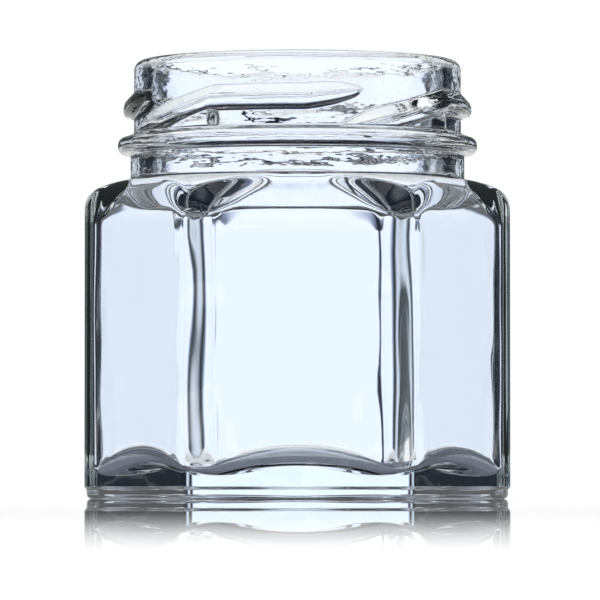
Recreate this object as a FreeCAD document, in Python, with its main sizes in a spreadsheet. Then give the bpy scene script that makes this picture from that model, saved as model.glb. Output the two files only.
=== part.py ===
import FreeCAD, Part

import math
import os

import Sketcher

# Six-sided glass jar of one piece, without its lid: a hexagonal body with rounded corners, a round neck
# with a bead, and four raised lugs that hold a twist-off lid.
# Millimetres. +Z is up and the origin is the middle of the foot. Two flat faces look along +Y and -Y,
# and two corners point along +X and -X. Angles round the neck are counted from -Y towards +X.

SIZES = [
    ("overall_height", 51.8, "foot to lip"),
    ("across_flats", 44.3, "body, flat face to flat face"),
    ("corner_round", 2.6, "outer radius of the upright corners"),
    ("side_wall", 2.1, "glass at the middle of a flat face"),
    ("inner_corner_round", 5.3, "inner radius of the upright corners"),
    ("base_glass", 3.3, "foot up to the inside floor, near the walls"),
    ("heel_height", 1.35, "height of the set-in band round the foot"),
    ("heel_inset", 0.25, "how far that band is set in"),
    ("foot_round", 0.6, "rounding between the band and the foot"),
    ("push_up_radius", 15.5, "hollow under the foot"),
    ("push_up_depth", 0.8, "rise of that hollow at its middle"),
    ("floor_dome_rise", 0.8, "rise of the inside floor at its middle"),
    ("floor_round", 1.0, "rounding between the inside floor and the corners"),
    ("cove_reach", 2.8, "how far the thick glass at the foot of a face reaches inwards"),
    ("cove_arch", 23.5, "arch of that thick glass, seen facing the flat"),
    ("neck_height", 14.3, "lip down to the top of the shoulder"),
    ("shoulder_drop", 3.7, "top of the shoulder down to the flat faces"),
    ("shoulder_glass", 0.1, "top of the shoulder down to the top of the inner shoulder"),
    ("inner_drop", 3.4, "inner shoulder, down to the inner walls"),
    ("neck_radius", 19.35, "neck above the bead"),
    ("root_step", 0.4, "how much wider the neck is below the bead"),
    ("root_cove", 0.9, "hollow rounding between neck and shoulder"),
    ("neck_wall", 2.1, "glass of the neck above the bead"),
    ("lip_round", 1.2, "outer rounding of the lip"),
    ("mouth_round", 0.7, "inner rounding of the lip"),
    ("bead_reach", 1.9, "how far the bead stands out from the neck above it"),
    ("bead_depth", 11.1, "lip down to the flat underside of the bead"),
    ("bead_height", 2.4, "bead, along the neck"),
    ("bead_round", 0.85, "rounding of the bead's edge"),
    ("lug_reach", 1.25, "how far a lug stands out from the neck"),
    ("lug_depth", 5.4, "lip down to the middle of a lug's level stretch"),
    ("lug_height", 3.0, "lug, along the neck"),
    ("lug_dip", 3.9, "fall of a lug from its level stretch to its low end"),
    ("lug_tip_rise", 0.8, "rise of a lug from its level stretch to its tip"),
    ("stop_angle", -31.5, "upright stop of the front lug, in degrees"),
    ("slope_span", 46.0, "sloping stretch of a lug before the stop, in degrees"),
    ("level_span", 32.4, "level stretch of a lug after the stop, in degrees"),
    ("tip_span", 19.6, "rising tip of a lug, in degrees"),
    ("stop_span", 13.0, "thick glass behind the stop, in degrees"),
    ("stop_reach", 0.95, "how far that glass stands out from the neck"),
]

SIDES = 6
LUGS = 4
Z_AXIS = FreeCAD.Vector(0, 0, 1)

# Levels and reaches that several features share, as formulas on the sheet.
SHOULDER_TOP = "(Sizes.overall_height - Sizes.neck_height)"
SHOULDER_FOOT = f"({SHOULDER_TOP} - Sizes.shoulder_drop)"
INNER_TOP = f"({SHOULDER_TOP} - Sizes.shoulder_glass)"
INNER_FOOT = f"({INNER_TOP} - Sizes.inner_drop)"
HALF_FLATS = "(Sizes.across_flats / 2)"
INNER_FLATS = f"({HALF_FLATS} - Sizes.side_wall)"
BORE = "(Sizes.neck_radius - Sizes.neck_wall)"
ROOT = "(Sizes.neck_radius + Sizes.root_step)"
BEAD = "(Sizes.neck_radius + Sizes.bead_reach)"
BEAD_FOOT = "(Sizes.overall_height - Sizes.bead_depth)"
COVE_TOP = "(Sizes.base_glass + Sizes.cove_reach)"

# A shoulder passes through these stages, in degrees along a quarter of an ellipse. Its last section is
# a hexagon rounded almost to a circle, just inside the neck that it runs into. The outer shoulder keeps
# its corners until near the top, and the inner one turns round from its foot: a higher power is later.
SHOULDER_STAGES = (32, 54, 72, 90)
ALMOST_ROUND = 0.97
INSIDE_NECK = 0.992
OUTER_ROUNDING_POWER = 5
INNER_ROUNDING_POWER = 0.8

# Small laps that let one solid pass cleanly through another.
LAP = 0.1
OVERSHOOT = 2.0
LUG_ROOT = 0.6

# The edge of the bead is upright for this share of its rounding, so that the rounding just fits.
BEAD_EDGE = 1.65

# A lug's section fills out over this share of its slope, and these are the places where the lug's
# sections stand, as shares of its three stretches.
LUG_RUN_IN = 0.35
SLOPE_STATIONS = (0.02, 0.12, 0.25, 0.5, 0.75, 0.95)
LEVEL_STATIONS = (0.1, 0.4, 0.7, 0.95)
TIP_STATIONS = (0.2, 0.45, 0.7, 0.88, 0.98)
STOP_STATIONS = (0.0, 0.5, 1.0)
STOP_START = 0.3


def make_sheet(doc):
    """Spreadsheet with one named cell for each driving size."""
    sheet = doc.addObject("Spreadsheet::Sheet", "Sizes")
    for row, (alias, value, note) in enumerate(SIZES, start=1):
        sheet.set(f"A{row}", alias.replace("_", " "))
        sheet.set(f"B{row}", str(value))
        sheet.set(f"C{row}", note)
        sheet.setAlias(f"B{row}", alias)
    doc.recompute()
    return sheet


def number(owner, formula):
    """Present value of a formula on the sheet."""
    return float(owner.Document.Sizes.evalExpression(formula))


def origin_feature(body, role):
    """One of a body's own origin planes or axes."""
    return next(item for item in body.Origin.OriginFeatures if item.Role == role)


def new_sketch(body, name, role, level="0"):
    """Sketch on an origin plane of its body, moved along the plane's normal to a level."""
    sketch = body.newObject("Sketcher::SketchObject", name)
    sketch.AttachmentSupport = [(origin_feature(body, role), "")]
    sketch.MapMode = "FlatFace"
    sketch.setExpression("AttachmentOffset.Base.z", level)
    return sketch


def constrain(sketch, label, formula, *terms):
    """Add a dimension with a name and tie it to a formula."""
    index = sketch.addConstraint(Sketcher.Constraint(*terms))
    sketch.renameConstraint(index, label)
    sketch.setExpression(f"Constraints.{label}", formula)


def hexagon(body, name, level, half_flats, rounding):
    """Sketch of a hexagon with rounded corners, its first side towards -Y."""
    sketch = new_sketch(body, name, "XY_Plane", level)
    reach = number(body, half_flats)
    radius = number(body, rounding)
    turn = 2 * math.pi / SIDES
    half_side = (reach - radius) * math.tan(turn / 2)
    corner_reach = (reach - radius) / math.cos(turn / 2)
    for side in range(SIDES):
        facing = side * turn - math.pi / 2
        outward = FreeCAD.Vector(math.cos(facing), math.sin(facing), 0)
        along = FreeCAD.Vector(-outward.y, outward.x, 0) * half_side
        sketch.addGeometry(Part.LineSegment(outward * reach - along, outward * reach + along))
        bearing = facing + turn / 2
        centre = FreeCAD.Vector(math.cos(bearing), math.sin(bearing), 0) * corner_reach
        sketch.addGeometry(Part.ArcOfCircle(Part.Circle(centre, Z_AXIS, radius), facing, facing + turn))
    edges = 2 * SIDES
    for edge in range(edges):
        sketch.addConstraint(Sketcher.Constraint("Tangent", edge, 2, (edge + 1) % edges, 1))
    for side in range(SIDES):
        constrain(sketch, f"flat_{side}", half_flats, "Distance", -1, 1, 2 * side, reach)
        if side % (SIDES // 2):
            sketch.addConstraint(Sketcher.Constraint("Angle", 2 * side, side * turn))
        else:
            sketch.addConstraint(Sketcher.Constraint("Horizontal", 2 * side))
        if side:
            sketch.addConstraint(Sketcher.Constraint("Equal", 1, 2 * side + 1))
    constrain(sketch, "rounding", rounding, "Radius", 1, radius)
    return sketch


def outline(body, name, role, corners, arcs=None):
    """Closed sketch through corners, each a pair of formulas that are never negative.

    arcs gives the radius of each stretch that is an arc, by the number of the corner it starts from,
    and whether it bulges to the left or the right of its way round.
    """
    arcs = arcs or {}
    sketch = new_sketch(body, name, role)
    points = [FreeCAD.Vector(number(body, across), number(body, up), 0) for across, up in corners]
    count = len(points)
    ends = []
    for index, start in enumerate(points):
        end = points[(index + 1) % count]
        if index not in arcs:
            sketch.addGeometry(Part.LineSegment(start, end))
            ends.append((1, 2))
            continue
        formula, hand = arcs[index]
        radius = number(body, formula)
        chord = end - start
        bulge = radius - math.sqrt(radius**2 - (chord.Length / 2) ** 2)
        aside = FreeCAD.Vector(-chord.y, chord.x, 0).normalize() * bulge
        middle = (start + end) / 2 + (aside if hand == "left" else -aside)
        sketch.addGeometry(Part.Arc(start, middle, end))
        ends.append((2, 1) if hand == "left" else (1, 2))
    for index in range(count):
        following = (index + 1) % count
        join = Sketcher.Constraint("Coincident", index, ends[index][1], following, ends[following][0])
        sketch.addConstraint(join)
    for index, (across, up) in enumerate(corners):
        spot = (index, ends[index][0])
        if across == "0":
            sketch.addConstraint(Sketcher.Constraint("PointOnObject", *spot, -2))
        else:
            constrain(sketch, f"across_{index}", across, "DistanceX", -1, 1, *spot, points[index].x)
        if up == "0":
            sketch.addConstraint(Sketcher.Constraint("PointOnObject", *spot, -1))
        else:
            constrain(sketch, f"up_{index}", up, "DistanceY", -1, 1, *spot, points[index].y)
    for index, (formula, _) in arcs.items():
        constrain(sketch, f"radius_{index}", formula, "Radius", index, number(body, formula))
    return sketch


def pad(body, name, sketch, length):
    """Pad of a sketch to a length given as a formula."""
    feature = body.newObject("PartDesign::Pad", name)
    feature.Profile = sketch
    feature.setExpression("Length", length)
    return feature


def revolve(body, kind, name, sketch, axis="V_Axis"):
    """Full turn of a sketch round one of its axes, as a Revolution or a Groove."""
    feature = body.newObject(f"PartDesign::{kind}", name)
    feature.Profile = sketch
    feature.ReferenceAxis = (sketch, [axis])
    feature.Angle = 360.0
    return feature


def round_edges(body, name, base, radius, chosen):
    """Fillet of the edges of a feature that pass a test."""
    body.Document.recompute()
    edges = [f"Edge{index}" for index, edge in enumerate(base.Shape.Edges, start=1) if chosen(edge)]
    fillet = body.newObject("PartDesign::Fillet", name)
    fillet.Base = (base, edges)
    fillet.setExpression("Radius", radius)
    return fillet


def at_level(level):
    """Test for edges that lie flat at a level."""
    return lambda edge: abs(edge.BoundBox.ZMin - level) < 1e-4 and abs(edge.BoundBox.ZMax - level) < 1e-4


def ring(radius, level):
    """Test for whole circles round the jar's axis."""
    def passes(edge):
        flat = at_level(level)(edge)
        return flat and abs(edge.BoundBox.XMax - radius) < 1e-4 and abs(edge.BoundBox.YMax - radius) < 1e-4
    return passes


def shoulder(body, name, levels, half_flats, rounding, neck, power):
    """Loft from a rounded hexagon, through an elliptical shoulder, to just inside a round neck."""
    foot, top = levels
    neck_flats = f"({INSIDE_NECK} * {neck})"
    neck_rounding = f"({ALMOST_ROUND} * {neck_flats})"
    sections = [hexagon(body, f"{name}Foot", foot, half_flats, rounding)]
    for stage in SHOULDER_STAGES:
        level = f"{foot} + ({top} - {foot}) * sin({stage})"
        reach = f"({neck_flats} + ({half_flats} - {neck_flats}) * cos({stage}))"
        radius = f"({rounding} + ({neck_rounding} - {rounding}) * sin({stage})^{power})"
        sections.append(hexagon(body, f"{name}At{stage}", level, reach, radius))
    loft = body.newObject("PartDesign::AdditiveLoft", name)
    loft.Profile = sections[0]
    loft.Sections = sections[1:]
    return loft


def make_outside(doc):
    """Solid of the jar's outer form, without the lugs."""
    body = doc.addObject("PartDesign::Body", "Outside")
    heel_flats = f"({HALF_FLATS} - Sizes.heel_inset)"
    heel_rounding = "(Sizes.corner_round - Sizes.heel_inset)"
    foot = hexagon(body, "HeelOutline", "0", heel_flats, heel_rounding)
    heel = pad(body, "Heel", foot, "Sizes.heel_height")
    round_edges(body, "FootRound", heel, "Sizes.foot_round", at_level(0))
    walls = hexagon(body, "WallOutline", "Sizes.heel_height", HALF_FLATS, "Sizes.corner_round")
    pad(body, "Walls", walls, f"{SHOULDER_FOOT} - Sizes.heel_height")
    levels = (SHOULDER_FOOT, SHOULDER_TOP)
    shoulder(body, "Shoulder", levels, HALF_FLATS, "Sizes.corner_round", ROOT, OUTER_ROUNDING_POWER)

    cove_foot = f"({SHOULDER_TOP} - 0.4 * Sizes.root_cove)"
    cove_top = f"({cove_foot} + Sizes.root_cove)"
    bead_edge_top = f"({BEAD_FOOT} + {BEAD_EDGE} * Sizes.bead_round)"
    neck_corners = [
        ("0", SHOULDER_FOOT),
        (f"{ROOT} + Sizes.root_cove", SHOULDER_FOOT),
        (f"{ROOT} + Sizes.root_cove", cove_foot),
        (ROOT, cove_top),
        (ROOT, BEAD_FOOT),
        (BEAD, BEAD_FOOT),
        (BEAD, bead_edge_top),
        ("Sizes.neck_radius", f"{BEAD_FOOT} + Sizes.bead_height"),
        ("Sizes.neck_radius", "Sizes.overall_height"),
        ("0", "Sizes.overall_height"),
    ]
    profile = outline(body, "NeckOutline", "XZ_Plane", neck_corners, {2: ("Sizes.root_cove", "left")})
    neck = revolve(body, "Revolution", "Neck", profile)
    bead = number(body, BEAD)
    lower = ring(bead, number(body, BEAD_FOOT))
    upper = ring(bead, number(body, bead_edge_top))
    both = lambda edge: lower(edge) or upper(edge)
    crown = round_edges(body, "BeadRound", neck, "Sizes.bead_round", both)
    lip = ring(number(body, "Sizes.neck_radius"), number(body, "Sizes.overall_height"))
    round_edges(body, "LipRound", crown, "Sizes.lip_round", lip)

    push_up = outline(
        body,
        "PushUpOutline",
        "XZ_Plane",
        [("0", "0"), ("Sizes.push_up_radius", "0"), ("0", "Sizes.push_up_depth")],
        {1: ("(Sizes.push_up_radius^2 + Sizes.push_up_depth^2) / (2 * Sizes.push_up_depth)", "right")},
    )
    revolve(body, "Groove", "PushUp", push_up)
    return body


def make_inside(doc):
    """Solid of the space inside the jar, out through its mouth."""
    body = doc.addObject("PartDesign::Body", "Inside")
    floor = hexagon(body, "FloorOutline", "Sizes.base_glass", INNER_FLATS, "Sizes.inner_corner_round")
    room = pad(body, "Room", floor, f"{INNER_FOOT} - Sizes.base_glass")
    round_edges(body, "FloorRound", room, "Sizes.floor_round", at_level(number(body, "Sizes.base_glass")))
    levels = (INNER_FOOT, INNER_TOP)
    corner = "Sizes.inner_corner_round"
    shoulder(body, "InnerShoulder", levels, INNER_FLATS, corner, BORE, INNER_ROUNDING_POWER)

    mouth_top = "(Sizes.overall_height - Sizes.mouth_round)"
    bore_corners = [
        ("0", INNER_FOOT),
        (BORE, INNER_FOOT),
        (BORE, mouth_top),
        (f"{BORE} + Sizes.mouth_round", "Sizes.overall_height"),
        (f"{BORE} + Sizes.mouth_round", f"Sizes.overall_height + {OVERSHOOT}"),
        ("0", f"Sizes.overall_height + {OVERSHOOT}"),
    ]
    profile = outline(body, "BoreOutline", "XZ_Plane", bore_corners, {2: ("Sizes.mouth_round", "left")})
    revolve(body, "Revolution", "Bore", profile)

    dome = outline(
        body,
        "DomeOutline",
        "XZ_Plane",
        [
            ("0", "Sizes.base_glass"),
            ("Sizes.push_up_radius", "Sizes.base_glass"),
            ("0", "Sizes.base_glass + Sizes.floor_dome_rise"),
        ],
        {1: ("(Sizes.push_up_radius^2 + Sizes.floor_dome_rise^2) / (2 * Sizes.floor_dome_rise)", "right")},
    )
    revolve(body, "Groove", "FloorDome", dome)

    # The glass at the foot of each face is a cove swept round a level axis below the jar, so that its
    # upper edge is an arch, highest at the middle of the face.
    cove_inner = f"({INNER_FLATS} - Sizes.cove_reach)"
    cove_foot = f"(Sizes.base_glass - {LAP})"
    cove_corners = [
        (cove_inner, cove_foot),
        (f"{INNER_FLATS} + {OVERSHOOT}", cove_foot),
        (f"{INNER_FLATS} + {OVERSHOOT}", COVE_TOP),
        (f"{INNER_FLATS} + {LAP}", COVE_TOP),
    ]
    hollow = {3: (f"Sizes.cove_reach + {LAP}", "left")}
    section = outline(body, "CoveOutline", "YZ_Plane", cove_corners, hollow)
    drop = f"(Sizes.cove_arch - {COVE_TOP})"
    depth = number(body, drop)
    reach = number(body, INNER_FLATS)
    axis = section.addGeometry(
        Part.LineSegment(FreeCAD.Vector(0, -depth, 0), FreeCAD.Vector(reach, -depth, 0)), True
    )
    section.addConstraint(Sketcher.Constraint("PointOnObject", axis, 1, -2))
    section.addConstraint(Sketcher.Constraint("Horizontal", axis))
    constrain(section, "axis_reach", INNER_FLATS, "DistanceX", axis, 1, axis, 2, reach)
    constrain(section, "axis_drop", drop, "DistanceY", axis, 1, -1, 1, depth)
    cove = revolve(body, "Groove", "Cove", section, "Axis0")
    pattern = body.newObject("PartDesign::PolarPattern", "Coves")
    pattern.Originals = [cove]
    pattern.Axis = (origin_feature(body, "Z_Axis"), [""])
    pattern.Angle = 360.0
    pattern.Occurrences = SIDES
    body.Tip = pattern
    return body


def lug_section(angle, root, level, half_height, reach):
    """Wire of a lug's section in the upright plane at an angle: a gentle top and a steep underside.

    Both flanks go on into the neck's glass, so that they cross its surface cleanly.
    """
    bearing = math.radians(angle)
    outward = FreeCAD.Vector(math.sin(bearing), -math.cos(bearing), 0)

    def spot(out, up):
        return outward * (root + out) + Z_AXIS * (level + up * half_height)

    top = spot(-LUG_ROOT, 1.4)
    high = spot(0.9 * reach, 0.15)
    edge = spot(reach, -0.3)
    low = spot(0.85 * reach, -0.75)
    foot = spot(-LUG_ROOT, -1.15)
    return Part.Wire(
        [
            Part.makeLine(top, high),
            Part.Arc(high, edge, low).toShape(),
            Part.makeLine(low, foot),
            Part.makeLine(foot, top),
        ]
    )


def make_lug(doc, index):
    """One lug and the thick glass behind its upright stop, from the sheet's sizes."""
    size = doc.Sizes
    root = size.neck_radius
    stop = size.stop_angle + index * 360.0 / LUGS
    level = size.overall_height - size.lug_depth
    half = size.lug_height / 2
    sections = []
    for share in SLOPE_STATIONS:
        fullness = math.sqrt(1 - (1 - min(share / LUG_RUN_IN, 1)) ** 2)
        angle = stop - size.slope_span * (1 - share)
        height = level - size.lug_dip * (1 - share)
        sections.append(lug_section(angle, root, height, half * fullness, size.lug_reach * fullness))
    for share in LEVEL_STATIONS:
        sections.append(lug_section(stop + size.level_span * share, root, level, half, size.lug_reach))
    for share in TIP_STATIONS:
        fullness = math.sqrt(1 - share**2)
        angle = stop + size.level_span + size.tip_span * share
        height = level + size.lug_tip_rise * share
        sections.append(lug_section(angle, root, height, half * fullness, size.lug_reach * fullness))
    ridge = Part.makeLoft(sections, True)

    bead_top = size.overall_height - size.bead_depth + size.bead_height
    stop_foot = bead_top - size.bead_round
    blocks = []
    for share in STOP_STATIONS:
        angle = stop - size.stop_span * (1 - share)
        reach = size.stop_reach * (STOP_START + (1 - STOP_START) * share)
        middle = (stop_foot + level) / 2
        blocks.append(lug_section(angle, root, middle, (level - stop_foot) / 2, reach))
    lug = doc.addObject("Part::Feature", f"Lug{index + 1}")
    lug.Shape = ridge.fuse(Part.makeLoft(blocks, True)).Solids[0]
    return lug


def make_jar(doc):
    """The whole jar: outer form and lugs, less the space inside."""
    outside = make_outside(doc)
    lugs = [make_lug(doc, index) for index in range(LUGS)]
    blank = doc.addObject("Part::MultiFuse", "Blank")
    blank.Shapes = [outside, *lugs]
    blank.Refine = False
    jar = doc.addObject("Part::Cut", "Jar")
    jar.Base = blank
    jar.Tool = make_inside(doc)
    jar.Refine = False
    jar.Label = "jar"
    return jar


def check(doc, pieces):
    """Stop if any object failed or any piece isn't one valid solid."""
    for item in doc.Objects:
        if {"Invalid", "Error"} & set(item.State):
            raise RuntimeError(f"{item.Label} failed: {item.State}")
    for piece in pieces:
        if piece.Shape.isNull() or not piece.Shape.isValid() or len(piece.Shape.Solids) != 1:
            raise RuntimeError(f"{piece.Label} is not one valid solid")


def main():
    """Build the jar and write it."""
    doc = FreeCAD.newDocument("HexagonalJar")
    make_sheet(doc)
    pieces = [make_jar(doc)]
    doc.recompute()
    check(doc, pieces)
    os.makedirs("parts", exist_ok=True)
    for piece in pieces:
        piece.Shape.exportStep(os.path.join("parts", f"{piece.Label}.step"))
        print(f"{piece.Label}: {piece.Shape.Volume:.0f} cubic millimetres of glass")


main()
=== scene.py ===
import logging
import math
from dataclasses import dataclass, field
from enum import Enum

import bmesh
import bpy
from mathutils import Matrix, Vector, noise


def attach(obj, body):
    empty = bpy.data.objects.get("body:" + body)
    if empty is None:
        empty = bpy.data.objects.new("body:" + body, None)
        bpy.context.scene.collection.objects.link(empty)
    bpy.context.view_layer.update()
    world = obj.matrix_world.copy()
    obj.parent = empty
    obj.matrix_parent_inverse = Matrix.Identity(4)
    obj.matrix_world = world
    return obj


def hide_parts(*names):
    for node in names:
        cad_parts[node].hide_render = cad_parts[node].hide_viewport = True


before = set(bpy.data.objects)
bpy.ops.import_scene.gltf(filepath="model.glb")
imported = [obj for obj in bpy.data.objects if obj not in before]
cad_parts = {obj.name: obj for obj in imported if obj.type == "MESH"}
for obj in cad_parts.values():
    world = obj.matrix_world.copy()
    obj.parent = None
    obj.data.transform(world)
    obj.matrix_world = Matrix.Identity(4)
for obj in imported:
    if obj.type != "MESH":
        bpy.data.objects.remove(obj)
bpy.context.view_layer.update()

LOG = logging.getLogger("jar")
MM = 0.001
QUARTER = math.pi / 2
WHITE = (1.0, 1.0, 1.0, 1.0)

# The jar has six faces. Bearings round it are counted from -Y, the front, towards +X.
SIDES = 6
SECTOR = 2 * math.pi / SIDES
HALF_SECTOR = SECTOR / 2

# Outside of the body, in millimetres: half its width across the flats, and the radius of its corners.
HALF_FLATS = 22.15
CORNER = 2.6

# Rings in an ordinary rounding, and in a very small one.
ROUND = 7
SMALL_ROUND = 4

# Shares of the way across a broad flat stretch at which it gets its rings.
SPREAD = (0.3, 0.6, 0.85)

# A ring whose straight sides are shorter than this counts as a circle, in millimetres.
NO_STRAIGHT = 1e-6

# Points of the skin closer together than this are one point, in metres.
SAME_POINT = 1e-7


class Skin(Enum):
    """Which part of the glass's skin a ring belongs to, and so what shapes it further."""

    PLAIN = "plain"
    THREAD = "thread"
    COVE = "cove"
    FLOOR = "floor"
    INNER_WALL = "inner wall"
    BORE = "bore"


def off_middle(bearing: float) -> float:
    """Angle from the middle of the nearest face to a bearing."""
    return (bearing + HALF_SECTOR) % SECTOR - HALF_SECTOR


def steps(count: int, start: float = 0.0, end: float = 1.0) -> list[float]:
    """Evenly spaced values from start to end, both included."""
    return [start + (end - start) * index / (count - 1) for index in range(count)]


def ease(value: float) -> float:
    """Smooth rise from 0 to 1 as a value does the same."""
    value = min(max(value, 0.0), 1.0)
    return value * value * (3 - 2 * value)


@dataclass(frozen=True)
class Ring:
    """One loop of the glass's skin: a hexagon with rounded corners, which may be a circle."""

    half_flats: float
    rounding: float
    level: float
    skin: Skin = Skin.PLAIN
    share: float = 0.0

    def reach(self, bearing: float) -> float:
        """Distance from the axis out to the loop.

        Args:
            bearing: angle round the jar, in radians.

        Returns:
            The distance in millimetres.
        """
        off = abs(off_middle(bearing))
        if self.half_flats - self.rounding < NO_STRAIGHT:
            return self.half_flats
        straight = (self.half_flats - self.rounding) * math.tan(HALF_SECTOR)
        if off <= math.atan2(straight, self.half_flats):
            return self.half_flats / math.cos(off)
        arm = (self.half_flats - self.rounding) / math.cos(HALF_SECTOR)
        tilt = HALF_SECTOR - off
        return arm * math.cos(tilt) + math.sqrt(self.rounding**2 - (arm * math.sin(tilt)) ** 2)


def circle(radius: float, level: float, skin: Skin = Skin.PLAIN) -> Ring:
    """A round ring of the skin."""
    return Ring(radius, radius, level, skin)


@dataclass(frozen=True)
class Foot:
    """The underside: a shallow hollow, the round foot and the set-in band above it."""

    half_flats: float = HALF_FLATS
    corner: float = CORNER
    hollow_radius: float = 15.5
    hollow_depth: float = 0.8
    hollow_rings: int = 9
    inset: float = 0.25
    rounding: float = 0.6
    band_foot: float = 1.03
    band_height: float = 0.4

    def rings(self) -> list[Ring]:
        """Rings from the middle of the underside out to the foot of the walls.

        Returns:
            The rings, in that order.
        """
        flats = self.half_flats - self.inset
        corner = self.corner - self.inset
        made = []
        for share in steps(self.hollow_rings):
            made.append(circle(self.hollow_radius * share, self.hollow_depth * (1 - share * share)))
        for share in SPREAD:
            across = self.hollow_radius + (flats - self.rounding - self.hollow_radius) * share
            round_off = self.hollow_radius + (corner - self.rounding - self.hollow_radius) * share
            made.append(Ring(across, round_off, 0.0))
        for turn in steps(ROUND, 0, QUARTER):
            step = self.rounding * (1 - math.sin(turn))
            made.append(Ring(flats - step, corner - step, self.rounding * (1 - math.cos(turn))))
        for share in steps(ROUND):
            grow = self.inset * ease(share)
            made.append(Ring(flats + grow, corner + grow, self.band_foot + self.band_height * share))
        return made


@dataclass(frozen=True)
class Walls:
    """The six flat faces with their rounded upright corners.

    Their rings stand close together at both ends, at the given heights from the foot and the top.
    """

    half_flats: float = HALF_FLATS
    corner: float = CORNER
    foot: float = 1.6
    near_foot: tuple = (-0.14, -0.1, 0.0, 0.4)
    spaced_from: float = 3.5
    spaced_rings: int = 9
    near_top: tuple = (-0.5, -0.1, 0.0)
    top: float = 33.8

    def rings(self) -> list[Ring]:
        """Rings from the foot of the walls up to the shoulder.

        Returns:
            The rings, in that order.
        """
        lowest = [self.foot + rise for rise in self.near_foot]
        first, *highest = [self.top + rise for rise in self.near_top]
        levels = [*lowest, *steps(self.spaced_rings, self.spaced_from, first), *highest]
        return [Ring(self.half_flats, self.corner, level) for level in levels]


@dataclass(frozen=True)
class Shoulder:
    """A quarter of an ellipse that leads from a hexagon to a round neck."""

    half_flats: float
    corner: float
    foot: float
    top: float
    neck: float
    roundness: float
    neck_fullness: float = 0.97
    count: int = 24

    def rings(self) -> list[Ring]:
        """Rings from the hexagon to the neck.

        Returns:
            The rings, in that order.
        """
        neck_rounding = self.neck_fullness * self.neck
        made = []
        for turn in steps(self.count, 0, QUARTER):
            flats = self.neck + (self.half_flats - self.neck) * math.cos(turn)
            rounding = self.corner + (neck_rounding - self.corner) * math.sin(turn) ** self.roundness
            made.append(Ring(flats, rounding, self.foot + (self.top - self.foot) * math.sin(turn)))
        return made


@dataclass(frozen=True)
class Thread:
    """The four lugs that hold a lid, each with an upright stop of thick glass.

    Bearings and spans are in degrees. Along the neck, a lug slopes up to its stop, runs level past
    it and ends in a tip. Its section is given in half heights of the lug: a bowed crest between a
    long upper flank and a short lower one, and both flanks sink below the surface of the neck.
    """

    level: float = 46.4
    height: float = 3.0
    reach: float = 1.25
    dip: float = 3.9
    tip_rise: float = 0.8
    slope_span: float = 46.0
    slope_taper: float = 0.35
    level_span: float = 32.4
    tip_span: float = 19.6
    thinnest: float = 0.05
    stop_bearing: float = -30.5
    stop_span: float = 20.0
    stop_edge: float = 3.0
    stop_past: float = 1.8
    stop_reach: float = 0.95
    stop_start: float = 0.3
    stop_foot: float = 42.25
    count: int = 4
    crest_middle: float = -0.3
    crest_half: float = 0.45
    crest_top: float = 0.15
    crest_foot: float = -0.75
    crest_top_share: float = 0.9
    crest_foot_share: float = 0.87
    upper_flank: float = 1.25
    lower_flank: float = 0.4
    sink: float = 0.6

    def section(self, up: float, reach: float) -> float:
        """How far a lug's section stands out.

        Args:
            up: height above the lug's middle line, in half heights.
            reach: how far the crest stands out.

        Returns:
            The height of the section above the neck, in millimetres.
        """
        if up >= self.crest_top:
            edge = self.crest_top_share * reach
            return edge - (up - self.crest_top) / self.upper_flank * (edge + self.sink)
        if up >= self.crest_foot:
            bow = 1 - ((up - self.crest_middle) / self.crest_half) ** 2
            return reach * (self.crest_foot_share + (1 - self.crest_foot_share) * max(bow, 0.0))
        edge = self.crest_foot_share * reach
        return edge - (self.crest_foot - up) / self.lower_flank * (edge + self.sink)

    def height_at(self, bearing: float, level: float) -> float:
        """How far the lugs stand out from the neck at a point.

        Args:
            bearing: angle round the neck, in radians.
            level: height above the foot, in millimetres.

        Returns:
            The distance in millimetres, 0 off the lugs.
        """
        highest = 0.0
        for index in range(self.count):
            turn = math.degrees(bearing) - self.stop_bearing - index * 360 / self.count
            turn = (turn + 180) % 360 - 180
            if -self.slope_span < turn < self.level_span + self.tip_span:
                highest = max(highest, self.lug_at(turn, level))
            if -self.stop_span < turn < self.stop_past:
                highest = max(highest, self.stop_at(turn, level))
        return highest

    def lug_at(self, turn: float, level: float) -> float:
        """How far one lug stands out.

        Args:
            turn: angle past the lug's stop, in degrees.
            level: height above the foot, in millimetres.

        Returns:
            The distance in millimetres, which is below 0 above and below the lug.
        """
        middle, fullness = self.level, 1.0
        if turn < 0:
            share = 1 + turn / self.slope_span
            fullness = math.sqrt(1 - (1 - min(share / self.slope_taper, 1)) ** 2)
            middle = self.level - self.dip * (1 - share)
        elif turn > self.level_span:
            share = (turn - self.level_span) / self.tip_span
            fullness = math.sqrt(1 - share**2)
            middle = self.level + self.tip_rise * share
        if fullness < self.thinnest:
            return 0.0
        return self.section((level - middle) / (self.height / 2 * fullness), self.reach * fullness)

    def stop_at(self, turn: float, level: float) -> float:
        """How far the thick glass behind a stop stands out.

        Args:
            turn: angle past the stop, in degrees.
            level: height above the foot, in millimetres.

        Returns:
            The distance in millimetres, which is below 0 above and below the stop.
        """
        share = min(1 + turn / (self.stop_span - self.stop_edge), 1)
        edge = min((self.stop_past - turn) / self.stop_edge, 1)
        middle = (self.stop_foot + self.level) / 2
        half = (self.level - self.stop_foot) / 2
        reach = self.stop_reach * (self.stop_start + (1 - self.stop_start) * share)
        return self.section((level - middle) / half, reach) * edge


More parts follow.
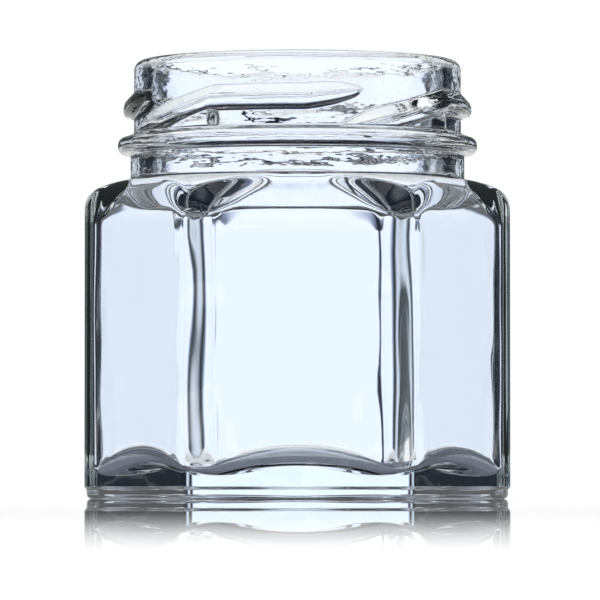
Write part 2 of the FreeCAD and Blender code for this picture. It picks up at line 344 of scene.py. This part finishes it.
@dataclass(frozen=True)
class Neck:
    """The round neck: its root, its bead, the stretch that carries the lugs, and the lip."""

    radius: float = 19.35
    root: float = 19.75
    root_cove: float = 0.9
    root_cove_top: float = 0.5
    root_foot: float = 0.8
    under_bead: float = 0.25
    shoulder_top: float = 37.5
    bead: float = 21.25
    bead_foot: float = 40.7
    bead_height: float = 2.4
    bead_crest: float = 1.1
    bead_round: float = 0.85
    first_turn: float = 0.15
    thread_foot: float = 43.1
    thread_top: float = 49.2
    thread_rings: int = 46
    bore: float = 17.25
    bore_rings: int = 30
    bore_start: float = 0.3
    bore_end: float = 0.2
    lip: float = 51.8
    lip_foot: float = 49.5
    lip_start: float = 0.1
    lip_round: float = 1.2
    lip_rings: int = 9
    mouth_round: float = 0.7
    mouth_rings: int = 8
    inner_top: float = 37.4
    thread: Thread = field(default_factory=Thread)

    def root_rings(self) -> list[Ring]:
        """Rings of the cove above the shoulder, the root, and the small cove under the bead.

        Returns:
            The rings, from the shoulder upwards.
        """
        made = []
        for turn in steps(ROUND, self.first_turn, QUARTER):
            out = self.root_cove * (1 - math.sin(turn))
            level = self.shoulder_top + self.root_cove_top - self.root_cove * math.cos(turn)
            made.append(circle(self.root + out, level))
        foot, top = self.shoulder_top + self.root_foot, self.bead_foot - self.under_bead
        made += [circle(self.root, level) for level in steps(SMALL_ROUND, foot, top)]
        for turn in steps(SMALL_ROUND, 0, QUARTER):
            out = self.under_bead * (1 - math.cos(turn))
            level = self.bead_foot - self.under_bead * (1 - math.sin(turn))
            made.append(circle(self.root + out, level))
        return made

    def bead_rings(self) -> list[Ring]:
        """Rings of the bead and of the slope that leads from it to the thread.

        Returns:
            The rings, from the bead's foot upwards.
        """
        made = []
        edge = self.bead - self.bead_round
        for turn in steps(ROUND, 0, QUARTER):
            level = self.bead_foot + self.bead_round * (1 - math.cos(turn))
            made.append(circle(edge + self.bead_round * math.sin(turn), level))
        crest = self.bead_foot + self.bead_crest
        for turn in steps(ROUND, self.first_turn, QUARTER):
            level = crest + self.bead_round * math.sin(turn)
            made.append(circle(edge + self.bead_round * math.cos(turn), level))
        top = crest + self.bead_round
        for share in SPREAD:
            across = edge + (self.radius - edge) * share
            made.append(circle(across, top + (self.bead_foot + self.bead_height - top) * share))
        return made

    def outer_rings(self) -> list[Ring]:
        """Rings from the shoulder up to the top of the lip.

        Returns:
            The rings, in that order.
        """
        made = [*self.root_rings(), *self.bead_rings()]
        thread = steps(self.thread_rings, self.thread_foot, self.thread_top)
        made += [circle(self.radius, level, Skin.THREAD) for level in thread]
        side = self.lip - self.lip_round
        plain = steps(SMALL_ROUND, self.lip_foot, side - self.lip_start)
        made += [circle(self.radius, level) for level in plain]
        for turn in steps(self.lip_rings, 0, QUARTER):
            across = self.radius - self.lip_round * (1 - math.cos(turn))
            made.append(circle(across, side + self.lip_round * math.sin(turn)))
        return made

    def inner_rings(self) -> list[Ring]:
        """Rings from the top of the lip down the bore to the inner shoulder.

        Returns:
            The rings, in that order.
        """
        edge = self.lip - self.mouth_round
        made = []
        for turn in steps(self.mouth_rings, 0, QUARTER):
            across = self.bore + self.mouth_round * (1 - math.sin(turn))
            made.append(circle(across, edge + self.mouth_round * math.cos(turn)))
        bore = steps(self.bore_rings, edge - self.bore_start, self.inner_top + self.bore_end)
        made += [circle(self.bore, level, Skin.BORE) for level in bore]
        return made


@dataclass(frozen=True)
class Room:
    """The space inside: walls, the arched thick glass at their foot, and the floor."""

    half_flats: float = 20.05
    corner: float = 3.9
    top: float = 32.8
    wall_start: float = 0.8
    wall_rings: int = 14
    near_cove: tuple = (1.2, 0.5, 0.12)
    stretch: int = 3
    cove_top: float = 6.1
    cove_arch: float = 23.5
    cove_rings: int = 24
    lowest_top: float = 3.7
    cove_foot: float = 3.8
    foot_fall: float = 1.1
    half_face: float = 10.5
    cove_reach: float = 3.2
    floor_middle: float = 4.1
    floor_rings: int = 9

    def rings(self) -> list[Ring]:
        """Rings from the inner shoulder down to the middle of the floor.

        Returns:
            The rings, in that order.
        """
        made = []
        first, *lowest = [self.cove_top + rise for rise in self.near_cove]
        for level in (*steps(self.wall_rings, self.top - self.wall_start, first), *lowest):
            made.append(Ring(self.half_flats, self.corner, level, Skin.INNER_WALL))
        for share in steps(self.cove_rings):
            made.append(Ring(self.half_flats, self.corner, self.cove_top, Skin.COVE, share))
        edge = self.half_flats - self.cove_reach
        for share in steps(self.floor_rings)[1:]:
            across = edge * (1 - share)
            rounding = min(self.corner + (across - self.corner) * share, across)
            made.append(Ring(across, rounding, self.floor_middle, Skin.FLOOR, share))
        return made

    def along_face(self, bearing: float) -> float:
        """Distance along a face from its middle, at a bearing, on the inner wall."""
        return Ring(self.half_flats, self.corner, 0.0).reach(bearing) * math.sin(off_middle(bearing))

    def cove_start(self, along: float) -> float:
        """Level at which the thick glass leaves the wall, that far along a face."""
        fall = self.cove_arch - math.sqrt(self.cove_arch**2 - along**2)
        return max(self.cove_top - fall, self.lowest_top)

    def cove_end(self, along: float) -> float:
        """Level at which the thick glass meets the floor, that far along a face."""
        return self.cove_foot - self.foot_fall * min(abs(along) / self.half_face, 1.0) ** 2

    def wall_level(self, ring: Ring, bearing: float) -> float:
        """Level of a ring of the inner wall, stretched down to the arch of the thick glass.

        Args:
            ring: the wall's ring.
            bearing: angle round the jar, in radians.

        Returns:
            The level in millimetres.
        """
        start = self.cove_start(self.along_face(bearing))
        share = min((self.top - ring.level) / (self.top - self.cove_top), 1.0) ** self.stretch
        return ring.level - (self.cove_top - start) * share

    def cove_point(self, ring: Ring, bearing: float) -> tuple[float, float]:
        """Distance from the axis and level of a point of the arched thick glass.

        Args:
            ring: the cove's ring.
            bearing: angle round the jar, in radians.

        Returns:
            The distance and the level, in millimetres.
        """
        along = self.along_face(bearing)
        start, end = self.cove_start(along), self.cove_end(along)
        turn = ring.share * QUARTER
        inward = self.cove_reach * (1 - math.cos(turn))
        loop = Ring(self.half_flats - inward, self.corner, 0.0)
        return loop.reach(bearing), end + (start - end) * (1 - math.sin(turn))

    def floor_level(self, ring: Ring, bearing: float) -> float:
        """Level of the floor, which rises from the foot of the cove to its middle."""
        end = self.cove_end(self.along_face(bearing))
        return end + (self.floor_middle - end) * ease(ring.share)


@dataclass(frozen=True)
class Ripples:
    """Slight unevenness of the moulded glass.

    Each kind of wave has its lengths across and up the jar, all in millimetres. The close waves of
    the inner wall grow over some degrees, from an angle off the middle of each face.
    """

    wall: float = 0.035
    wall_waves: tuple = (9.0, 16.0)
    corner: float = 0.16
    corner_waves: tuple = (2.2, 7.0)
    corner_from: float = 16.0
    corner_over: float = 12.0
    bore: float = 0.07
    broad_share: float = 0.45
    broad_waves: tuple = (6.0, 3.0)
    fine_share: float = 0.3
    fine_waves: tuple = (3.6, 0.8)
    seed: Vector = field(default_factory=lambda: Vector((3.7, 1.9, 8.4)))

    def wave(self, spot: Vector, lengths: tuple) -> float:
        """Smooth noise between -1 and 1 at a point, with waves of those lengths."""
        across, up = lengths
        return noise.noise(Vector((spot.x / across, spot.y / across, spot.z / up)) + self.seed)

    def offset(self, ring: Ring, spot: Vector) -> float:
        """Small change of distance from the axis.

        Args:
            ring: the ring that the point is on.
            spot: the point, in millimetres.

        Returns:
            The change in millimetres.
        """
        if ring.skin is Skin.INNER_WALL:
            off = math.degrees(abs(off_middle(math.atan2(spot.x, -spot.y))))
            grown = ease((off - self.corner_from) / self.corner_over)
            close = self.corner * self.wave(spot, self.corner_waves) * grown
            return self.wall * self.wave(spot, self.wall_waves) + close
        if ring.skin is Skin.BORE:
            broad = self.broad_share * self.wave(spot, self.broad_waves)
            return self.bore * (broad + self.fine_share * self.wave(spot, self.fine_waves))
        return 0.0


@dataclass
class Jar:
    """The whole jar, one closed skin of glass."""

    foot: Foot = field(default_factory=Foot)
    walls: Walls = field(default_factory=Walls)
    neck: Neck = field(default_factory=Neck)
    room: Room = field(default_factory=Room)
    ripples: Ripples = field(default_factory=Ripples)
    outer_roundness: float = 5.0
    inner_roundness: float = 0.8
    shoulder_edge: float = 0.45
    columns: int = 372
    corner_crowding: float = 0.33

    def rings(self) -> list[Ring]:
        """Every ring, from the middle of the underside, over the lip, to the middle of the floor.

        Returns:
            The rings, in that order.
        """
        walls, neck, room = self.walls, self.neck, self.room
        edge = neck.root + self.shoulder_edge
        outer = Shoulder(
            walls.half_flats, walls.corner, walls.top, neck.shoulder_top, edge, self.outer_roundness
        )
        inner = Shoulder(
            room.half_flats, room.corner, room.top, neck.inner_top, neck.bore, self.inner_roundness
        )
        return [
            *self.foot.rings(),
            *walls.rings(),
            *outer.rings()[1:],
            *neck.outer_rings(),
            *neck.inner_rings(),
            *reversed(inner.rings()),
            *room.rings(),
        ]

    def bearing(self, share: float) -> float:
        """Bearing of a column, with the columns crowded towards the corners.

        Args:
            share: how far round the jar the column is, from 0 to 1.

        Returns:
            The bearing in radians.
        """
        side, along = divmod(share * SIDES, 1.0)
        across = 2 * along - 1
        warped = across * (1 + self.corner_crowding) - self.corner_crowding * across**3
        return (side + 0.5 + warped / 2) * SECTOR - HALF_SECTOR

    def point(self, ring: Ring, bearing: float) -> Vector:
        """Where the skin is on a ring at a bearing.

        Args:
            ring: the ring.
            bearing: angle round the jar, in radians.

        Returns:
            The point, in millimetres.
        """
        reach, level = ring.reach(bearing), ring.level
        if ring.skin is Skin.COVE:
            reach, level = self.room.cove_point(ring, bearing)
        elif ring.skin is Skin.FLOOR:
            level = self.room.floor_level(ring, bearing)
        elif ring.skin is Skin.INNER_WALL:
            level = self.room.wall_level(ring, bearing)
        elif ring.skin is Skin.THREAD:
            reach += self.neck.thread.height_at(bearing, level)
        outward = Vector((math.sin(bearing), -math.cos(bearing), 0))
        spot = outward * reach + Vector((0, 0, level))
        return spot + outward * self.ripples.offset(ring, spot)

    def build(self) -> bpy.types.Object:
        """Make the jar's mesh from a grid that is wrapped round and closed.

        Returns:
            The new object.
        """
        rings = self.rings()
        mesh = bmesh.new()
        bmesh.ops.create_grid(mesh, x_segments=self.columns, y_segments=len(rings) - 1, size=0.5)
        for vert in mesh.verts:
            ring = rings[round((vert.co.y + 0.5) * (len(rings) - 1))]
            share = round((vert.co.x + 0.5) * self.columns) % self.columns / self.columns
            vert.co = self.point(ring, self.bearing(share)) * MM
        bmesh.ops.remove_doubles(mesh, verts=mesh.verts[:], dist=SAME_POINT)
        bmesh.ops.recalc_face_normals(mesh, faces=mesh.faces[:])
        for face in mesh.faces:
            face.smooth = True
        data = bpy.data.meshes.new("jar_glass")
        mesh.to_mesh(data)
        mesh.free()
        piece = bpy.data.objects.new("jar_glass", data)
        bpy.context.scene.collection.objects.link(piece)
        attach(piece, "root")
        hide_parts("jar")
        return piece


class Wire:
    """A shader socket that takes part in Python sums."""

    def __init__(self, nodes: "Nodes", socket: bpy.types.NodeSocket) -> None:
        """Keep the socket and the tree it belongs to."""
        self.nodes = nodes
        self.socket = socket

    def maths(self, operation: str, *others: "Wire | float") -> "Wire":
        """A Math node with this socket first."""
        inputs = {index: value for index, value in enumerate((self, *others))}
        return self.nodes.add("ShaderNodeMath", {"operation": operation}, inputs)

    def __add__(self, other: "Wire | float") -> "Wire":
        """Sum."""
        return self.maths("ADD", other)

    def __radd__(self, other: float) -> "Wire":
        """Reflected sum."""
        return self.maths("ADD", other)

    def __sub__(self, other: "Wire | float") -> "Wire":
        """Difference."""
        return self.maths("SUBTRACT", other)

    def __rsub__(self, other: float) -> "Wire":
        """Reflected difference."""
        return (self * -1).maths("ADD", other)

    def __mul__(self, other: "Wire | float") -> "Wire":
        """Product."""
        return self.maths("MULTIPLY", other)

    def __rmul__(self, other: float) -> "Wire":
        """Reflected product."""
        return self.maths("MULTIPLY", other)

    def clamped(self) -> "Wire":
        """The value held between 0 and 1."""
        return self.maths("MINIMUM", 1.0).maths("MAXIMUM", 0.0)

    def eased(self, low: float, high: float) -> "Wire":
        """Smooth rise from 0 to 1 between two values.

        Args:
            low: where the rise starts.
            high: where the rise ends.

        Returns:
            The wire that carries it.
        """
        settings = {"interpolation_type": "SMOOTHSTEP"}
        inputs = {"Value": self, "From Min": low, "From Max": high, "To Min": 0.0, "To Max": 1.0}
        return self.nodes.add("ShaderNodeMapRange", settings, inputs)


class Nodes:
    """A node tree that is being filled."""

    def __init__(self, tree: bpy.types.NodeTree) -> None:
        """Start from an empty tree."""
        self.tree = tree
        tree.nodes.clear()

    def add(
        self, kind: str, settings: dict | None = None, inputs: dict | None = None, output: int | str = 0
    ) -> Wire | None:
        """Add a node.

        Args:
            kind: the node's type.
            settings: properties, set before anything is linked.
            inputs: values or wires, by the name or number of the socket.
            output: the name or number of the socket to give back.

        Returns:
            The wire from that output, or None from a node without one.
        """
        node = self.tree.nodes.new(kind)
        for name, value in (settings or {}).items():
            setattr(node, name, value)
        for key, value in (inputs or {}).items():
            if isinstance(value, Wire):
                self.tree.links.new(value.socket, node.inputs[key])
            else:
                node.inputs[key].default_value = value
        return Wire(self, node.outputs[output]) if node.outputs else None

    def mixed(self, factor: Wire | float, first: Wire | tuple, second: Wire | tuple) -> Wire:
        """Blend of two colours, which a Mix node takes at 6 and 7 and gives back at 2."""
        settings = {"data_type": "RGBA"}
        return self.add("ShaderNodeMix", settings, {0: factor, 6: first, 7: second}, 2)

    def part(self, vector: Wire, axis: str) -> Wire:
        """One of a vector's three numbers, by the name of its axis."""
        return self.add("ShaderNodeSeparateXYZ", {}, {0: vector}, axis)

    def stretched(self, place: Wire, scale: tuple) -> Wire:
        """A place with each of its three numbers scaled."""
        return self.add("ShaderNodeMapping", {}, {"Vector": place, "Scale": scale})

    def waves(self, place: Wire, scale: float, detail: float) -> Wire:
        """Noise between 0 and 1 at a place, with finer layers on top as the detail grows."""
        return self.add("ShaderNodeTexNoise", {}, {"Vector": place, "Scale": scale, "Detail": detail})


@dataclass(frozen=True)
class ClearGlass:
    """Colourless soda-lime glass, slightly uneven and faintly tinted where it is thick.

    Drawn-out waves run up the whole jar. Fine ones, laid flat, mark the neck, where the mould
    chilled the glass, and fade in between two levels given in metres. Lamp light passes through,
    dimmed by the shade. The roughness stays above 0, which the studio's light relies on.
    """

    name: str = "clear jar glass"
    tint: tuple = (0.97, 0.985, 1.0, 1.0)
    index: float = 1.52
    absorption: tuple = (0.62, 0.80, 0.82, 1.0)
    density: float = 9.0
    shade: tuple = (0.48, 0.51, 0.60, 1.0)
    unevenness: float = 0.00006
    drawn: tuple = (1.0, 1.0, 0.45)
    drawn_scale: float = 140.0
    drawn_detail: float = 1.5
    laid: tuple = (0.6, 0.6, 1.5)
    laid_scale: float = 520.0
    laid_detail: float = 2.0
    chill: float = 0.8
    chill_from: float = 0.0365
    chill_full: float = 0.0395
    polish: float = 0.002
    haze: float = 0.012
    haze_scale: float = 60.0
    haze_detail: float = 2.0

    def make(self) -> bpy.types.Material:
        """Build the material.

        Returns:
            The new material.
        """
        material = bpy.data.materials.new(self.name)
        material.use_nodes = True
        nodes = Nodes(material.node_tree)
        place = nodes.add("ShaderNodeTexCoord", output="Object")
        drawn = nodes.waves(nodes.stretched(place, self.drawn), self.drawn_scale, self.drawn_detail)
        haze = nodes.waves(place, self.haze_scale, self.haze_detail)
        laid = nodes.waves(nodes.stretched(place, self.laid), self.laid_scale, self.laid_detail)
        height = drawn + laid * nodes.part(place, "Z").eased(self.chill_from, self.chill_full) * self.chill
        bump = {"Strength": 1.0, "Distance": self.unevenness, "Height": height}
        finish = {
            "Base Color": self.tint,
            "Roughness": haze * self.haze + self.polish,
            "IOR": self.index,
            "Transmission Weight": 1.0,
            "Normal": nodes.add("ShaderNodeBump", {}, bump),
        }
        shader = nodes.add("ShaderNodeBsdfPrincipled", {}, finish)
        lamplight = nodes.add("ShaderNodeLightPath", output="Is Shadow Ray")
        passing = nodes.add("ShaderNodeBsdfTransparent", {}, {"Color": self.shade})
        surface = nodes.add("ShaderNodeMixShader", {}, {0: lamplight, 1: shader, 2: passing})
        colour = {"Color": self.absorption, "Density": self.density}
        body = nodes.add("ShaderNodeVolumeAbsorption", {}, colour)
        nodes.add("ShaderNodeOutputMaterial", {}, {"Surface": surface, "Volume": body})
        return material


@dataclass(frozen=True)
class Tabletop:
    """Polished white top: a soft shadow, and a mirror image that fades away from the jar.

    The image fades towards a line in front of the jar, between two distances from it, in metres.
    The mirror is perfectly smooth, which the studio's light relies on.
    """

    half_width: float = 6.0
    colour: tuple = (0.98, 0.98, 0.98, 1.0)
    index: float = 1.45
    mirror_roughness: float = 0.0
    front: float = 0.68
    least_distance: float = 0.01
    near_fade: float = 0.35
    far_fade: float = 0.045

    def finish(self) -> bpy.types.Material:
        """Build the material.

        Returns:
            The new material.
        """
        material = bpy.data.materials.new("polished white top")
        material.use_nodes = True
        nodes = Nodes(material.node_tree)
        along = nodes.part(nodes.add("ShaderNodeTexCoord", output="Object"), "Y")
        distance = (along + self.front).maths("MAXIMUM", self.least_distance)
        near = 1 - distance.maths("POWER", -1.0).eased(1 / self.near_fade, 1 / self.far_fade)
        sheen = nodes.add("ShaderNodeFresnel", {}, {"IOR": self.index})
        matt = nodes.add("ShaderNodeBsdfDiffuse", {}, {"Color": self.colour})
        polish = {"Color": WHITE, "Roughness": self.mirror_roughness}
        mirror = nodes.add("ShaderNodeBsdfGlossy", {}, polish)
        top = nodes.add("ShaderNodeMixShader", {}, {0: sheen * near, 1: matt, 2: mirror})
        nodes.add("ShaderNodeOutputMaterial", {}, {"Surface": top})
        return material

    def build(self) -> bpy.types.Object:
        """Make the tabletop.

        Returns:
            The new object, which is not attached to the jar's body.
        """
        mesh = bmesh.new()
        bmesh.ops.create_grid(mesh, x_segments=1, y_segments=1, size=self.half_width)
        data = bpy.data.meshes.new("tabletop")
        mesh.to_mesh(data)
        mesh.free()
        data.materials.append(self.finish())
        top = bpy.data.objects.new("tabletop", data)
        bpy.context.scene.collection.objects.link(top)
        return top


@dataclass(frozen=True)
class Studio:
    """Plain white surroundings, and what the glass shows of them.

    Through the glass there is one bright screen behind the jar, dark flags beside it, narrow wings
    past those, and lit far sides. Off the outside of the glass there is only a dim sheen. The
    edges of the screen and wings are bearings off +Y, in degrees; heights and the far sides are
    parts of a direction whose length is 1. The tabletop's mirror is smooth and the glass isn't
    quite, which is how their light is told apart: the mirror shows plain white, except through the
    glass towards the screen and its flags.
    """

    middle: float = -0.7
    half_screen: float = 13.3
    wing_near: float = 18.5
    wing_far: float = 23.5
    soft_edge: float = 2.0
    low: float = -0.30
    high: float = 0.26
    soft_height: float = 0.1
    side_from: float = 0.75
    side_lit: float = 1.0
    side_plain: float = 0.95
    dark: tuple = (0.004, 0.006, 0.015, 1.0)
    side: tuple = (0.42, 0.48, 0.51, 1.0)
    dusk: tuple = (0.30, 0.36, 0.52, 1.0)
    wing: tuple = (0.75, 0.82, 0.95, 1.0)
    bright: tuple = (1.06, 1.14, 1.28, 1.0)
    sheen: tuple = (0.15, 0.18, 0.19, 1.0)

    def past(self, bearing: Wire, edge: float) -> Wire:
        """Soft step from 0 to 1 where a bearing passes an edge given in degrees."""
        return bearing.eased(math.radians(edge - self.soft_edge), math.radians(edge + self.soft_edge))

    def above(self, up: Wire, edge: float) -> Wire:
        """Soft step from 0 to 1 where a direction rises past a height."""
        return up.eased(edge - self.soft_height, edge + self.soft_height)

    def through_glass(self, nodes: Nodes, heading: Wire) -> Wire:
        """Colour that light inside the glass meets in a direction.

        Args:
            nodes: the world's tree.
            heading: the direction.

        Returns:
            The wire with the colour.
        """
        across, along, up = (nodes.part(heading, axis) for axis in "XYZ")
        bearing = (across.maths("ARCTAN2", along) - math.radians(self.middle)).maths("ABSOLUTE")
        height = (1 - self.above(up, self.high)) * self.above(up, self.low)
        screen = (1 - self.past(bearing, self.half_screen)) * height
        wings = self.past(bearing, self.wing_near) * (1 - self.past(bearing, self.wing_far)) * height
        lit = across.maths("ABSOLUTE").eased(self.side_from, self.side_lit)
        gloom = nodes.mixed(lit, self.dark, self.side)
        winged = nodes.mixed(wings, gloom, self.wing)
        lower = nodes.mixed((screen * 2).clamped(), winged, self.dusk)
        return nodes.mixed((screen * 2 - 1).clamped(), lower, self.bright)

    def build(self) -> bpy.types.World:
        """Make the world.

        Returns:
            The new world.
        """
        world = bpy.data.worlds.new("studio")
        world.use_nodes = True
        nodes = Nodes(world.node_tree)
        heading = nodes.add("ShaderNodeTexCoord", output="Generated")
        entered = nodes.add("ShaderNodeLightPath", output="Transmission Depth").clamped()
        shown = nodes.mixed(entered, self.sheen, self.through_glass(nodes, heading))
        seen = nodes.add("ShaderNodeLightPath", output="Is Camera Ray")
        spread = nodes.add("ShaderNodeLightPath", output="Diffuse Depth")
        mirrored = nodes.add("ShaderNodeLightPath", output="Is Singular Ray")
        beside = nodes.part(heading, "X").maths("ABSOLUTE").eased(self.side_from, self.side_plain)
        unbent = 1 - entered * (1 - beside)
        plain = (seen + spread + mirrored * unbent).clamped()
        colour = nodes.mixed(plain, shown, WHITE)
        sky = nodes.add("ShaderNodeBackground", {}, {"Color": colour, "Strength": 1.0})
        nodes.add("ShaderNodeOutputWorld", {}, {"Surface": sky})
        bpy.context.scene.world = world
        return world


@dataclass(frozen=True)
class Viewpoint:
    """A long lens just above the tabletop, in front of one flat face."""

    distance: float = 0.68
    azimuth: float = -0.7
    height: float = 0.0005
    aim: Vector = field(default_factory=lambda: Vector((0.0003, 0.0, 0.0235)))
    lens: float = 345.0
    sensor: float = 36.0
    nearest: float = 0.01
    farthest: float = 40.0

    def build(self) -> bpy.types.Object:
        """Make the camera and look through it.

        Returns:
            The new camera.
        """
        data = bpy.data.cameras.new("camera")
        data.lens = self.lens
        data.sensor_width = self.sensor
        data.clip_start = self.nearest
        data.clip_end = self.farthest
        camera = bpy.data.objects.new("camera", data)
        turn = math.radians(self.azimuth)
        out = Vector((math.sin(turn), -math.cos(turn), 0)) * self.distance
        camera.location = out + Vector((0, 0, self.height))
        camera.rotation_euler = (self.aim - camera.location).to_track_quat("-Z", "Y").to_euler()
        bpy.context.scene.collection.objects.link(camera)
        bpy.context.scene.camera = camera
        return camera


@dataclass(frozen=True)
class Softbox:
    """A broad weak lamp overhead."""

    height: float = 0.9
    width: float = 0.8
    power: float = 2.0

    def build(self) -> bpy.types.Object:
        """Make the lamp.

        Returns:
            The new lamp.
        """
        data = bpy.data.lights.new("softbox", "AREA")
        data.shape = "SQUARE"
        data.size = self.width
        data.energy = self.power
        lamp = bpy.data.objects.new("softbox", data)
        lamp.matrix_world = Matrix.Translation((0, 0, self.height))
        bpy.context.scene.collection.objects.link(lamp)
        return lamp


def main() -> None:
    """Build the jar and its studio in order."""
    logging.basicConfig(level=logging.INFO, format="%(name)s: %(message)s")
    bpy.context.scene.view_settings.view_transform = "Standard"
    jar = Jar().build()
    jar.data.materials.append(ClearGlass().make())
    LOG.info("%s: %d faces, %d corners", jar.name, len(jar.data.polygons), len(jar.data.vertices))
    for item in (Tabletop(), Studio(), Softbox(), Viewpoint()):
        made = item.build()
        LOG.info("%s made", made.name)


if __name__ == "__main__":
    main()
